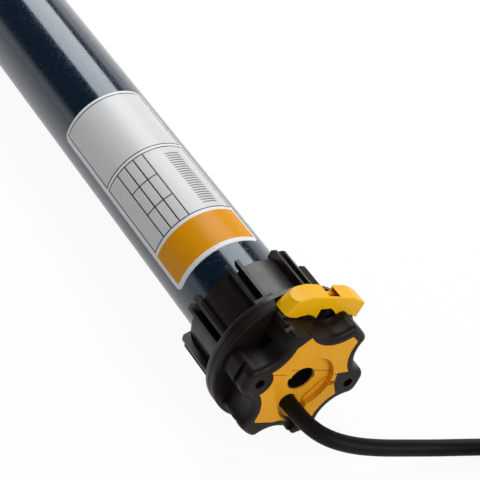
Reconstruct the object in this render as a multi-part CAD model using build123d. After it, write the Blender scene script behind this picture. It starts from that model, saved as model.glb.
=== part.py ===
"""Tubular roller blind motor, taken apart into its real pieces.

Frame: the origin is the centre of the head's front face on the tube's axis. +X points out of the
head, +Z is up, and the tube runs towards -X. "Depth" is a distance behind the front face, so a
depth s lies at x = -s. The head's own axes u and v lie in the YZ plane, turned by head_turn.
"""
from build123d import *
import os
from math import atan2, cos, degrees, hypot, pi, radians, sin, sqrt, tan

# Driving dimensions, in millimetres and degrees
tube_r = 22.5
tube_wall = 1.2
motor_length = 605.0
head_turn = -30.0
overrun = 2.0
fit_gap = 0.15
running_gap = 0.06
seat_gap = 0.05
side_gap = 0.4

# Head: six-lobed star, flange and journal
star_r = 28.5
valley_r = 21.5
lobes = 6
lobe_half_angle = 7.6
rim = 1.45
star_depth = 15.5
swell = 2.5
lobe_corner_r = 1.3
lobe_body_corner_r = 2.4
left_lobe_v = 24.2
boss_corner_r = 3.0
boss_body_corner_r = 4.6
boss_corner_v = 7.1
flange_r = 33.0
flange_depth = 4.0
flange_edge_r = 0.8
journal_r = 21.0
journal_depth = 3.6
cavity_r = 17.5
cut_lobe_v = 22.3
screw_place_r = 24.0
screw_hole_r = 2.2
slot_width = 3.0
slot_depth = 1.6
slot_place = 4.5
slot_turns = (120, 180, 240)
valley_pocket_turn = 150.0
valley_pocket_r = 2.8
valley_pocket_depth = 6.0

# Yellow front: cover plate, cable plug and the socket behind them
plate_depth = 4.0
seam_v = 4.6
seam_gap = 0.12
centre_r = 6.0
centre_edge = 0.1
socket_bore_r = 5.5
socket_wall = 1.0
socket_depth = 12.0
socket_floor = 1.0
socket_collar = 2.0
dish_r = 13.5
dish_depth = 2.65
trough_depth = 3.3
trough = [(-16.4, 0.0), (-13.7, -3.1), (-11.4, -7.4), (-7.3, -12.9), (-3.6, -17.2), (1.9, -20.0),
          (3.2, -35.0), (12.3, -35.0), (9.5, -20.0), (7.1, -9.6), (9.9, -4.2), (11.5, -1.5), (13.4, 0.9)]
spigot_wall = 2.0
spigot_depth = 5.0
left_boss_r = 6.9
left_boss_place = 25.0
wedge_in_u = 14.9
wedge_corner_u = 21.0
wedge_waist_u = 16.2
wedge_top_v = 5.2
wedge_low_v = 6.1
notch_r = 1.3
notch_place_u = 14.6
plug_half_u = 9.0
plug_depth = 17.0

# Cap over the limit buttons, the buttons and their switches
cap_front = 11.0
cap_top = [(21.0, 32.8), (3.0, 36.3), (-19.0, 30.3)]
cap_left = [(-20.6, 28.4), (-19.4, 26.0)]
cap_foot = [(-15.8, 24.4), (-12.1, 24.2), (-8.7, 25.4), (-6.1, 26.0), (-3.2, 25.2), (-1.4, 24.3),
            (12.0, 24.4), (14.6, 26.3), (17.1, 26.3), (20.6, 25.2)]
cap_arch = [(-1.4, 22.0), (-1.5, 29.2), (3.6, 29.9), (5.8, 28.7), (12.2, 24.0), (12.2, 22.0)]
cap_end_place = (15.0, 10.5)
cap_end_low_v = 25.0
cap_end_low_r = 8.5
cap_end_high_v = 33.0
cap_end_high_r = 5.0
cap_pocket_end_r = 9.2
cap_notch_u = 3.6
cap_notch_width = 7.8
cap_notch_depth = 1.7
cap_pad_v = 30.0
cap_wall = 1.2
cap_edge = 0.5
cap_opening_v = 28.0
button_r = 2.5
button_low_v = 15.6
button_top_v = 28.4
button_place_u = 6.4
button_depth = 15.2
button_edge_r = 0.6
button_travel = 1.5
setting_switch_size = (7.2, 6.6, 3.6)
setting_switch_v = 9.5
plunger_r = 1.0

# Crown: ribbed adapter sleeve on its driving ring
crown_gap = 0.35
crown_flange_depth = 2.5
sleeve_r = 26.5
sleeve_end = 46.0
fin_r = 30.0
fin_end = 49.0
fin_pairs = 8
fin_half_spread = 4.7
fin_thickness = 1.4
fin_rest_turn = 42.0
fin_channel_depth = 1.6
fin_slant = 1.5
ring_outer_r = 23.4
crown_ring_end = 33.0
crown_key_half = 4.0
crown_key_r = 31.5
crown_key_turn = 130.0
crown_key_depth = 2.0

# Gears: every pair has the same module
module = 2.0 / 3.0
backlash = 0.3
addendum_share = 0.72
dedendum_share = 1.0
flank_slope_share = 0.5
crown_teeth = 60
crown_gear_depth = 5.5
limit_pinion_teeth = 15
limit_drive_teeth = 10
reduction_teeth = 35
cam_drive_teeth = 10
cam_teeth = 20
sun_teeth = 12
planet_teeth = 21
ring_teeth = 54
planets = 3

# Limit switch unit
neck_r = 18.6
neck_wall = 2.0
tube_start = 34.0
housing_end = 114.0
housing_wall = 2.0
housing_windows = 4
plate_thickness = 3.0
plate_b_place = 49.5
plate_b_thickness = 2.0
plate_c_place = 60.0
shaft_r = 1.5
limit_gear_width = 4.4
cam_turn = 30.0
cam_r = 7.0
cam_notch_r = 1.6
cam_width = 3.5
microswitch_size = (8.0, 6.4, 4.2)
microswitch_place = (7.4, 13.4)
rivets = 3
rivet_turn = 10.0
rivet_r = 1.6
rivet_place = 40.0

# Capacitor and its cradle
capacitor_r = 14.5
capacitor_length = 84.0
capacitor_start = 124.0
capacitor_edge_r = 1.2
cradle_wall = 2.0
cradle_lip = 3.0
saddle_inset = 6.0
terminal_size = (0.8, 6.3, 9.0)
terminal_spacing = 10.0

# Brake between the capacitor and the motor
brake_start = 222.0
brake_plate_depth = 4.0
brake_hole_r = 7.5
lining_hole_r = 10.4
lining_depth = 1.2
brake_disc_r = 15.8
brake_disc_depth = 5.0
brake_hub_r = 7.0
brake_travel = 0.6
brake_room = 17.0
brake_square = 7.0
disc_spring_r = 9.5
disc_spring_thickness = 0.9
disc_spring_rise = 2.4

# Motor
shaft_big_r = 4.0
rotor_r = 12.6
air_gap = 0.35
stator_length = 120.0
stator_fit = 0.1
stator_slots = 12
slot_share = 0.42
slot_in_r = 13.9
slot_out_r = 18.2
winding_in_r = 14.2
winding_out_r = 19.4
winding_length = 13.0
winding_edge_r = 2.0
cage_ring_depth = 6.0
cage_hole_r = 8.0
shield_depth = 7.2
shield_gap = 9.0
shield_wall = 1.2
shield_hole_r = 5.2
bearing_r = 8.0
bearing_depth = 6.0
bearing_lip = 1.2

# Gearbox
gearbox_gap = 14.0
planet_width_first = 16.0
planet_width_growth = 8.0
planet_bore_r = 2.0
planet_start_gap = 0.5
carrier_depth = 4.0
carrier_r = 16.4
carrier_gap = 0.6

# Output end
nose_depth = 5.0
nose_r = 23.5
nose_edge = 1.6
nose_ribs = 4
nose_rib_thickness = 6.0
nose_plug_length = 38.0
output_shaft_r = 5.0
output_flat_share = 0.8
bush_wall = 3.0
nose_rivets = 4
nose_rivet_place = 12.0
nose_rivet_head = 0.8
rivet_head_r = 2.6
rivet_grip = 4.0
wheel_gap = 3.0
wheel_depth = 14.0
wheel_hub_r = 10.0
wheel_rim_in_r = 24.0
wheel_spokes = 8
wheel_spoke_thickness = 2.4
clip_groove_r = 3.8
clip_thickness = 1.0
clip_r = 9.0
clip_opening_share = 0.85

# Leads from the plug to the motor
lead_r = 0.9
lead_hole_gap = 0.3
lead_bend_r = 4.0
lead_at_plug = (7.5, -10.0)
lead_in_neck = (15.2, -3.0)
lead_in_tube = (17.6, 2.0)

# Supply cable: route chosen by hand, first point inside the plug's pocket
cable_r = 3.5
cable_pocket_gap = 0.3
cable_route = [
    (-8.0, -6.1, -10.56), (4.0, -6.1, -10.56), (12.6, -3.8, -13.0), (19.0, 0.8, -15.4),
    (24.2, 8.6, -18.6), (28.0, 18.6, -22.2), (31.2, 29.4, -25.6), (35.4, 41.0, -28.4),
    (41.2, 53.6, -29.5), (48.4, 66.6, -29.5), (57.5, 80.0, -29.5), (68.5, 92.0, -29.5),
    (81.0, 101.0, -29.5),
]
run_share = 0.45
coil_outer_r = 46.0
coil_pitch = 7.8
coil_rise = 7.9
coil_half_turns = (5, 5, 5, 2)
coil_lead = 7.0
core_r = 1.15
core_length = 30.0
core_spread = 1.45
core_tip_r = 0.75
core_tip_length = 8.0
cores = 4

# Depths worked out from the values above
flange_start = star_depth
flange_end = star_depth + flange_depth
journal_end = flange_end + journal_depth
crown_start = flange_end + crown_gap
tube_bore_r = tube_r - tube_wall
inner_r = tube_bore_r - fit_gap
shaft_end = motor_length
wheel_end = shaft_end - wheel_gap
wheel_start = wheel_end - wheel_depth
nose_end = wheel_start - wheel_gap
tube_end = nose_end - nose_depth
plate_a_end = tube_start + plate_thickness
plate_b_end = plate_b_place + plate_b_thickness
plate_c_end = plate_c_place + plate_thickness
cam_gear_start = plate_b_place - side_gap - limit_gear_width
brake_face = brake_start + brake_plate_depth + lining_depth
shield_start = brake_face + brake_disc_depth + brake_room
shield_end = shield_start + shield_depth
stator_start = shield_end + shield_gap + winding_length
stator_end = stator_start + stator_length
front_shield_start = stator_end + winding_length + shield_gap
gear_case_start = front_shield_start + shield_depth
gear_case_end = tube_end - nose_plug_length
nose_rivet_depth = tube_end - nose_rivet_place
nose_rivet_low = inner_r - rivet_grip
parts = {}


def span(sketch, near, far):
    """Solid of a sketch drawn in the head's (u, v) axes, between two depths."""
    plane = Plane(
        origin=(-far, 0, 0),
        x_dir=(0, cos(radians(head_turn)), sin(radians(head_turn))),
        z_dir=(1, 0, 0),
    )
    return extrude(plane * sketch, amount=far - near)


def disc(radius, near, far):
    return span(Circle(radius), near, far)


def ring(outer, inner, near, far):
    return span(Circle(outer) - Circle(inner), near, far)


def polar(radius, angle):
    return (radius * cos(radians(angle)), radius * sin(radians(angle)))


def outline(points):
    return make_face(Polyline(*points, close=True))


def turned(points):
    """Solid of revolution about the tube's axis from (depth, radius) points."""
    profile = make_face(Polyline(*[(-depth, radius) for depth, radius in points], close=True))
    return revolve(Plane.XZ * profile, Axis.X)


def upright(sketch, low, high):
    """Solid of a sketch drawn in (depth, u) axes, standing between two heights along v."""
    v_dir = (0, -sin(radians(head_turn)), cos(radians(head_turn)))
    plane = Plane(origin=tuple(low * part for part in v_dir), x_dir=(-1, 0, 0), z_dir=v_dir)
    return extrude(plane * sketch, amount=high - low)


def tooth_outline(teeth, inward=False):
    """Closed outline of straight-flanked teeth on a pitch circle.

    Each tooth is half a pitch wide there, less half the backlash, and narrows by the flank slope
    towards its tip. With inward set, the outline is the hole in a ring whose teeth point inwards.
    """
    pitch_r = teeth * module / 2
    half = pi * module / 4 - backlash / 4
    add = addendum_share * module
    ded = dedendum_share * module
    side = -1 if inward else 1
    tip_r = pitch_r + side * add
    root_r = pitch_r - side * ded
    tip_half = (half - flank_slope_share * add) / tip_r
    root_half = (half + flank_slope_share * ded) / root_r
    points = []
    corners = ((root_r, -root_half), (tip_r, -tip_half), (tip_r, tip_half), (root_r, root_half))
    for k in range(teeth):
        middle = 2 * pi * k / teeth
        for radius, angle in corners:
            points.append((radius * cos(middle + angle), radius * sin(middle + angle)))
    return outline(points)


def gear(teeth, near, far, centre=(0, 0), phase=0.0):
    """Toothed wheel with a tooth pointing along phase, in degrees from u."""
    return span(Pos(*centre) * (Rot(0, 0, phase) * tooth_outline(teeth)), near, far)


def meshed_phase(teeth, driver_teeth, driver_phase, direction):
    """Phase of a wheel that meshes with a driver seen from the driver's centre along direction."""
    return direction + 180 + (direction - driver_phase) * driver_teeth / teeth - 180 / teeth


def star_outline(inset):
    """Star of six lobes: a circle cut by six round valleys, drawn in from its edge by inset."""
    half_gap = radians(180 / lobes - lobe_half_angle)
    corner_x = star_r * cos(half_gap)
    corner_y = star_r * sin(half_gap)
    place = (corner_x**2 + corner_y**2 - valley_r**2) / (2 * (corner_x - valley_r))
    scallop_r = place - valley_r
    shape = Circle(star_r - inset)
    for k in range(lobes):
        middle = 180 / lobes + 360 * k / lobes
        shape -= Pos(*polar(place, middle)) * Circle(scallop_r + inset)
    return shape


def front_outline(inset):
    """The star as the yellow front has it, with its lower left lobe cut flat."""
    cut = Pos(0, -cut_lobe_v + inset) * Rectangle(star_r, star_r, align=(Align.MAX, Align.MAX))
    return star_outline(inset) - cut


def round_lobes(body, inset, boss_radius, lobe_radius):
    """Round the upright corners at the star's tips, more at the two lobes with screw holes."""
    v_dir = Vector(0, -sin(radians(head_turn)), cos(radians(head_turn)))
    for radius, at_boss in ((boss_radius, True), (lobe_radius, False)):
        corners = []
        for edge in body.edges().filter_by(Axis.X):
            place = edge.center()
            near_boss = abs(place.dot(v_dir)) < boss_corner_v
            if hypot(place.Y, place.Z) > star_r - inset - rim and near_boss == at_boss:
                corners.append(edge)
        if corners:
            body = fillet(corners, radius)
    return body


def boss_outline(grow):
    """The two black screw bosses that reach into the yellow front, widened by grow."""
    left = Pos(-left_boss_place, 0) * Circle(left_boss_r + grow)
    reach = star_r + overrun
    right = outline([
        (wedge_in_u, wedge_top_v), (wedge_corner_u, wedge_top_v + rim / 2), (reach, wedge_top_v + rim),
        (reach, -wedge_low_v), (wedge_corner_u, -wedge_low_v), (wedge_waist_u, 0),
    ])
    if grow:
        right = offset(right, amount=grow, kind=Kind.INTERSECTION)
    return left + right


def cap_outline():
    """Front view of the cap: arched back, rounded left end and a foot on each lobe."""
    back = ThreePointArc(*cap_top)
    left = ThreePointArc(cap_top[-1], *cap_left)
    return make_face(Curve() + [back, left, Polyline(cap_left[-1], *cap_foot, cap_top[0])])


def cap_block(grow, near, far, end_low_r, end_high_r):
    """The cap's outline as a block whose left end is rounded by a cone that may widen downwards."""
    shape = cap_outline()
    if grow:
        shape = offset(shape, amount=grow)
    slope = (end_low_r - end_high_r) / (cap_end_high_v - cap_end_low_v)
    low_r = end_low_r + grow + slope * cap_end_low_v
    high_r = end_high_r + grow - slope * (flange_r + overrun - cap_end_high_v)
    depth, place = cap_end_place
    v_dir = (0, -sin(radians(head_turn)), cos(radians(head_turn)))
    foot = Plane(origin=(0, 0, 0), x_dir=(-1, 0, 0), z_dir=v_dir)
    tall = flange_r + overrun
    if slope:
        end = Cone(low_r, high_r, tall)
    else:
        end = Cylinder(low_r, tall)
    end = foot * Pos(depth, place, tall / 2) * end
    wide = outline([(-place, 0), (flange_r, 0), (flange_r, tall), (-place, tall)])
    return span(shape, near, far) & (end + span(wide, near - overrun, far + overrun))


def head_body():
    """Black head: star with a rounded front edge, flange, journal for the crown and a cavity."""
    body = span(star_outline(-swell), 0, star_depth)
    body = round_lobes(body, -swell, boss_body_corner_r, lobe_body_corner_r)
    body = fillet(body.faces().sort_by(Axis.X)[-1].edges(), swell)
    high = flange_r + overrun
    left_lobe = outline([(-high, left_lobe_v), (0, left_lobe_v), (0, high), (-high, high)])
    body -= span(left_lobe, -overrun, cap_front)
    flange = disc(flange_r, flange_start, flange_end)
    flange = fillet(flange.faces().sort_by(Axis.X)[-1].edges(), flange_edge_r)
    body += flange
    body += disc(journal_r, flange_end, journal_end)
    recess = span(front_outline(rim) - boss_outline(0), -overrun, plate_depth)
    body -= round_lobes(recess, rim, boss_corner_r, lobe_corner_r)
    body -= disc(cavity_r, plate_depth, journal_end + overrun)
    body -= span(outline(trough), -overrun, trough_depth)
    near = cap_front - side_gap
    body -= cap_block(side_gap, near, flange_end + overrun, cap_pocket_end_r, cap_pocket_end_r)
    for side in (-1, 1):
        body -= span(Pos(side * screw_place_r, 0) * Circle(screw_hole_r), -overrun, flange_end + overrun)
        body -= button_hole(side)
    pocket = Pos(*polar(valley_r + swell, valley_pocket_turn)) * Circle(valley_pocket_r)
    body -= span(pocket, star_depth - valley_pocket_depth, star_depth)
    for angle in slot_turns:
        slot = Rot(0, 0, angle) * (Pos(star_r + swell, 0) * Rectangle(2 * slot_depth, star_r))
        body -= span(slot, slot_place, slot_place + slot_width)
    return body


def button_hole(side):
    place = Pos(button_depth, side * button_place_u)
    return upright(place * Circle(button_r + running_gap), cavity_r / 2, flange_r)


def front_blank():
    """Yellow star that fills the recess of the head, before it is parted along its seam."""
    shape = front_outline(rim + fit_gap) - boss_outline(fit_gap)
    blank = round_lobes(span(shape, 0, plate_depth), rim, boss_corner_r, lobe_corner_r)
    blank -= disc(dish_r, -overrun, dish_depth)
    blank -= disc(centre_r + centre_edge, -overrun, plate_depth + overrun)
    for side in (-1, 1):
        notch = Pos(side * notch_place_u, 0) * Circle(notch_r)
        blank -= span(notch, -overrun, dish_depth)
    return blank


def half_plane(low, high):
    """Wide strip across the head between two heights along v."""
    wide = 2 * (star_r + overrun)
    return Pos(0, (low + high) / 2) * Rectangle(wide, high - low)


def cover_plate():
    """Upper yellow plate with a half-round spigot that plugs into the head's cavity."""
    keep = span(half_plane(seam_v + seam_gap / 2, star_r), -overrun, plate_depth + spigot_depth + overrun)
    spigot_r = cavity_r - fit_gap
    spigot = ring(spigot_r, spigot_r - spigot_wall, plate_depth, plate_depth + spigot_depth)
    return front_blank() & keep, spigot & keep


def cable_plug():
    """Lower yellow plug: outer plate with the cable trough, and a body that holds the cable."""
    top = seam_v - seam_gap / 2
    keep = span(half_plane(-star_r, top), -overrun, plate_depth + overrun)
    plate = front_blank() & keep
    plate -= span(outline(trough), -overrun, trough_depth)
    low = -(cavity_r - fit_gap)
    high = -(centre_r + socket_wall + fit_gap)
    body = Circle(cavity_r - fit_gap) & (Pos(0, (low + high) / 2) * Rectangle(2 * plug_half_u, high - low))
    plug = plate + span(body, plate_depth, plate_depth + plug_depth)
    pocket = Plane(origin=cable_route[0], z_dir=(1, 0, 0)) * Circle(cable_r + cable_pocket_gap)
    return plug - extrude(pocket, amount=overrun - cable_route[0][0])


def centre_socket():
    """Black cup behind the yellow front that takes the bracket's centre pin."""
    wall_r = centre_r + socket_wall
    end = plate_depth + socket_depth
    cup = ring(wall_r, socket_bore_r, plate_depth, end) + disc(wall_r, end, end + socket_floor)
    collar = Circle(wall_r + socket_collar) & half_plane(-wall_r, wall_r)
    return cup + span(collar - Circle(wall_r - fit_gap), plate_depth, plate_depth + socket_floor)


def button_cap():
    """Hollow yellow cap over the two limit buttons, open below and behind its front arch."""
    body = cap_block(0, cap_front, flange_end, cap_end_low_r, cap_end_high_r)
    body = chamfer(body.faces().sort_by(Axis.X)[-1].edges(), cap_edge)
    notch_r = cap_notch_width**2 / (8 * cap_notch_depth) + cap_notch_depth / 2
    notch = Pos(flange_end - cap_notch_depth + notch_r, -cap_notch_u) * Circle(notch_r)
    left_u = cap_foot[1][0]
    right_u = cap_foot[-3][0]
    below = outline([(left_u, 0), (right_u, 0), (right_u, cap_opening_v), (left_u, cap_opening_v)])
    near = cap_front + cap_wall
    far = flange_end - cap_wall
    body -= cap_block(-cap_wall, near, far, cap_end_low_r, cap_end_high_r) + span(below, near, far)
    pad = outline([
        (cap_notch_u - cap_notch_width, cap_pad_v), (cap_notch_u + cap_notch_width, cap_pad_v),
        (cap_notch_u + cap_notch_width, flange_r), (cap_notch_u - cap_notch_width, flange_r),
    ])
    body += span(pad & cap_outline(), far - cap_notch_depth, far)
    body -= upright(notch, cap_pad_v, flange_r + swell + overrun)
    return body - span(outline(cap_arch), cap_front - overrun, cap_front + cap_wall + overrun)


def limit_button(side):
    """Round push button that slides in the head on its way to the setting switch."""
    pin = upright(Pos(button_depth, side * button_place_u) * Circle(button_r), button_low_v, button_top_v)
    v_axis = Axis((0, 0, 0), (0, -sin(radians(head_turn)), cos(radians(head_turn))))
    return fillet(pin.faces().sort_by(v_axis)[-1].edges(), button_edge_r)


def setting_switches():
    """Two small switches under the buttons, each with a plunger that its button presses."""
    depth, width, height = setting_switch_size
    solids = []
    for side in (-1, 1):
        place = Pos(button_depth, side * button_place_u)
        low = setting_switch_v
        body = upright(place * Rectangle(depth, width), low, low + height)
        tip = button_low_v - button_travel - fit_gap
        solids.append(body + upright(place * Circle(plunger_r), low + height, tip))
    return solids


def fin_set(inner, near, far, turn):
    """Pairs of axial fins around a sleeve, with slanted rear ends."""
    shape = None
    for k in range(fin_pairs):
        for side in (-1, 1):
            angle = turn + 360 * k / fin_pairs + side * fin_half_spread
            fin = Rot(0, 0, angle) * (Pos((inner + fin_r) / 2, 0) * Rectangle(fin_r - inner, fin_thickness))
            shape = fin if shape is None else shape + fin
    fins = span(shape, near, far)
    slant = turned([
        (far - fin_slant, fin_r + overrun), (far - fin_slant, fin_r), (far, fin_r - fin_slant),
        (far + overrun, fin_r - fin_slant), (far + overrun, fin_r + overrun),
    ])
    return fins - slant


def crown_adapter():
    """Ribbed adapter sleeve with its flange: turns with the roller tube."""
    flange_back = crown_start + crown_flange_depth
    seat_r = ring_outer_r + seat_gap
    front_end = crown_ring_end + seat_gap
    rear_r = tube_r + side_gap
    body = disc(flange_r, crown_start, flange_back)
    body = fillet(body.faces().sort_by(Axis.X)[0].edges(), flange_edge_r)
    body += disc(sleeve_r, flange_back, sleeve_end)
    body += fin_set(sleeve_r - fin_channel_depth, flange_back, fin_end, fin_rest_turn)
    channels = None
    for k in range(fin_pairs):
        wide = 2 * sleeve_r * sin(radians(fin_half_spread)) - fin_thickness
        cut = Rot(0, 0, fin_rest_turn + 360 * k / fin_pairs) * (
            Pos(sleeve_r, 0) * Rectangle(2 * fin_channel_depth, wide)
        )
        channels = cut if channels is None else channels + cut
    body -= span(channels, flange_back, sleeve_end + overrun)
    key = Pos((sleeve_r + crown_key_r) / 2, 0) * Rectangle(crown_key_r - sleeve_r, 2 * crown_key_half)
    key = Rot(0, 0, crown_key_turn) * key
    body += span(key, flange_back, flange_back + crown_key_depth)
    body -= disc(seat_r, crown_start - overrun, front_end)
    body -= disc(rear_r, front_end - overrun, fin_end + overrun)
    return body


def crown_ring():
    """Driving ring inside the adapter, with inner teeth that turn the limit pinion."""
    bore_r = journal_r + running_gap
    gear_start = journal_end + side_gap
    gear_end = gear_start + crown_gear_depth
    body = ring(ring_outer_r, bore_r, crown_start, gear_start)
    body += span(Circle(ring_outer_r) - tooth_outline(crown_teeth, inward=True), gear_start, gear_end)
    body += ring(ring_outer_r, bore_r + fit_gap, gear_end, crown_ring_end)
    return body


def limit_places():
    """Centres of the limit pinion and the two cams around the main axis."""
    pinion_r = (crown_teeth - limit_pinion_teeth) * module / 2
    cam_place_r = (cam_drive_teeth + cam_teeth) * module / 2
    return polar(pinion_r, -90), polar(cam_place_r, 180 - cam_turn), polar(cam_place_r, cam_turn)


def limit_pinion():
    """Pinion driven by the crown's inner teeth, with the small wheel at the rear of its shaft."""
    centre = limit_places()[0]
    start = journal_end + 2 * side_gap
    ring_phase = -90 + (90 * crown_teeth + 180) / limit_pinion_teeth
    wheel = shaft_gear(limit_pinion_teeth, start, centre, ring_phase)
    drive = shaft_gear(limit_drive_teeth, plate_b_end + side_gap, centre, 0)
    return wheel + drive + span(Pos(*centre) * Circle(shaft_r), start, plate_c_end)


def shaft_gear(teeth, near, centre, phase, play=0.0):
    """Wheel of the limit unit, narrowed by its play at both faces."""
    return gear(teeth, near + play, near + limit_gear_width - play, centre, phase)


def reduction_gear():
    """Double wheel on the main axis: the large one follows the pinion, the small one turns the cams."""
    phase = meshed_phase(reduction_teeth, limit_drive_teeth, 0, 90)
    large = shaft_gear(reduction_teeth, plate_b_end + side_gap, (0, 0), phase, seat_gap)
    small = shaft_gear(cam_drive_teeth, cam_gear_start, (0, 0), 0)
    return large + small + disc(shaft_r, tube_start, plate_c_end)


def limit_cam(side):
    """Cam wheel of one end limit: gear, notched cam disc and shaft."""
    centre = limit_places()[1 if side < 0 else 2]
    direction = 180 - cam_turn if side < 0 else cam_turn
    phase = meshed_phase(cam_teeth, cam_drive_teeth, 0, direction)
    wheel = shaft_gear(cam_teeth, cam_gear_start, centre, phase, seat_gap)
    cam_start = plate_a_end + side_gap
    cam = Pos(*centre) * Circle(cam_r)
    cam -= Pos(*centre) * (Rot(0, 0, direction) * (Pos(cam_r, 0) * Circle(cam_notch_r)))
    shaft = span(Pos(*centre) * Circle(shaft_r), tube_start, plate_b_end)
    return wheel + span(cam, cam_start, cam_start + cam_width) + shaft


def limit_housing():
    """Frame of the limit unit: neck, three plates on ribs, and a tongue for the switches."""
    shell = ring(inner_r, inner_r - housing_wall, tube_start, housing_end)
    for k in range(housing_windows):
        window = Pos(inner_r, 0) * Rectangle(inner_r, inner_r + housing_wall)
        window = Rot(0, 0, (k + 1 / 2) * 360 / housing_windows) * window
        shell -= span(window, plate_a_end, housing_end - plate_thickness)
    pinion, left_cam, right_cam = limit_places()
    pinion_tip_r = (limit_pinion_teeth / 2 + addendum_share) * module
    neck = ring(neck_r, neck_r - neck_wall, journal_end, plate_a_end)
    room = Pos(*pinion) * Circle(pinion_tip_r + side_gap)
    neck -= span(room, journal_end - overrun, journal_end + crown_gear_depth + 2 * side_gap)
    plates = disc(inner_r, tube_start, plate_a_end)
    plates += disc(inner_r, plate_b_place, plate_b_end)
    plates += disc(inner_r, plate_c_place, plate_c_end)
    depth, width = setting_switch_size[:2]
    tongue_v = setting_switch_v - housing_wall / 2
    tongue = Pos(0, tongue_v) * Rectangle(2 * button_place_u + width, housing_wall)
    body = shell + neck + plates + span(tongue, button_depth - depth / 2, plate_a_end)
    shafts = [(pinion, plate_c_end), ((0, 0), plate_c_end)]
    shafts += [(left_cam, plate_b_end), (right_cam, plate_b_end)]
    for centre, end in shafts:
        body -= span(Pos(*centre) * Circle(shaft_r + running_gap), tube_start - overrun, end + overrun)
    for side in (-1, 1):
        body -= lead_hole(side, lead_in_neck, tube_start, plate_c_end)
    for k in range(rivets):
        body -= rivet_solid(k, rivets, rivet_place, inner_r - housing_wall, tube_r, rivet_r)
    return body


def lead_hole(side, place, near, far):
    hole = Pos(side * place[0], place[1]) * Circle(lead_r + lead_hole_gap)
    return span(hole, near - overrun, far + overrun)


def rivet_solid(k, count, place, low, high, radius):
    """One of a ring of radial pins through the tube's wall, at a depth."""
    turn = radians(head_turn + rivet_turn + 360 * k / count)
    direction = (0, cos(turn), sin(turn))
    plane = Plane(origin=(-place, low * cos(turn), low * sin(turn)), x_dir=(1, 0, 0), z_dir=direction)
    return extrude(plane * Circle(radius), amount=high - low)


def tube_rivets():
    """Flush rivets that hold the limit unit in the tube, hidden under the crown's sleeve."""
    low = inner_r - housing_wall
    return [rivet_solid(k, rivets, rivet_place, low, tube_r - seat_gap, rivet_r) for k in range(rivets)]


def limit_microswitches():
    """Two microswitches over the cams, each with a lever that rides on its cam."""
    depth, width, height = microswitch_size
    place_u, place_v = microswitch_place
    near = plate_a_end
    solids = []
    for side in (-1, 1):
        case = Pos(side * place_u, place_v + height / 2) * Rectangle(width, height)
        lever = Pos(side * place_u, place_v - side_gap) * Rectangle(width / 2, 2 * side_gap)
        solids.append(span(case, near, near + depth) + span(lever, near, near + depth / 2))
    return solids


def capacitor():
    body = disc(capacitor_r, capacitor_start, capacitor_start + capacitor_length)
    body = fillet(body.edges().filter_by(GeomType.CIRCLE), capacitor_edge_r)
    thickness, width, reach = terminal_size
    for side in (-1, 1):
        blade = Pos(side * terminal_spacing / 2, 0) * Rectangle(thickness, width)
        body += span(blade, capacitor_start - reach, capacitor_start + overrun)
    return body


def capacitor_cradle():
    """Half shell with end rings and two saddles that carry the capacitor."""
    shell = Circle(inner_r) - Circle(inner_r - cradle_wall)
    lower = half_plane(-star_r, -capacitor_r / 2)
    body = span(shell & lower, housing_end, brake_start)
    body += ring(inner_r, inner_r - cradle_wall, housing_end, housing_end + cradle_lip)
    body += ring(inner_r, inner_r - cradle_wall, brake_start - cradle_lip, brake_start)
    saddle = (Circle(inner_r) - Circle(capacitor_r)) & half_plane(-star_r, 0)
    capacitor_end = capacitor_start + capacitor_length
    for place in (capacitor_start + saddle_inset, capacitor_end - saddle_inset - cradle_lip):
        body += span(saddle, place, place + cradle_lip)
    return body


def brake_plate():
    """Fixed plate that the brake disc is pressed on, with a bearing hole and holes for the leads."""
    body = ring(inner_r, brake_hole_r, brake_start, brake_start + brake_plate_depth)
    for side in (-1, 1):
        body -= lead_hole(side, lead_in_tube, brake_start, brake_start + brake_plate_depth)
    return body


def brake_lining():
    start = brake_start + brake_plate_depth
    return ring(brake_disc_r - rim, lining_hole_r, start, start + lining_depth)


def brake_disc():
    """Disc with a square bore that slides on the rotor's shaft."""
    start = brake_face + seat_gap
    body = disc(brake_disc_r, start, start + brake_disc_depth)
    bore = Rectangle(brake_square + 2 * running_gap, brake_square + 2 * running_gap)
    return body - span(bore, start - overrun, start + brake_disc_depth + overrun)


def brake_spring():
    """Cone-shaped disc spring between the shaft's collar and the brake disc, drawn as pressed."""
    near = brake_face + brake_disc_depth + brake_travel + 2 * seat_gap
    hole_r = brake_square * sqrt(2) / 2 + fit_gap
    return turned([
        (near, disc_spring_r), (near + disc_spring_thickness, disc_spring_r),
        (near + disc_spring_thickness + disc_spring_rise, hole_r), (near + disc_spring_rise, hole_r),
    ])


def rear_end_shield():
    """End shield with a rim that reaches the stator, a bearing seat and holes for the leads."""
    body = ring(inner_r, shield_hole_r, shield_start, shield_end)
    body += ring(inner_r, inner_r - shield_wall, shield_end, stator_start)
    body -= disc(bearing_r, shield_start + bearing_lip, shield_end + overrun)
    for side in (-1, 1):
        body -= lead_hole(side, lead_in_tube, shield_start, shield_end)
    return body


def front_end_shield():
    body = ring(inner_r, inner_r - shield_wall, stator_end, front_shield_start)
    body += ring(inner_r, shield_hole_r, front_shield_start, gear_case_start)
    return body - disc(bearing_r, front_shield_start - overrun, gear_case_start - bearing_lip)


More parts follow.
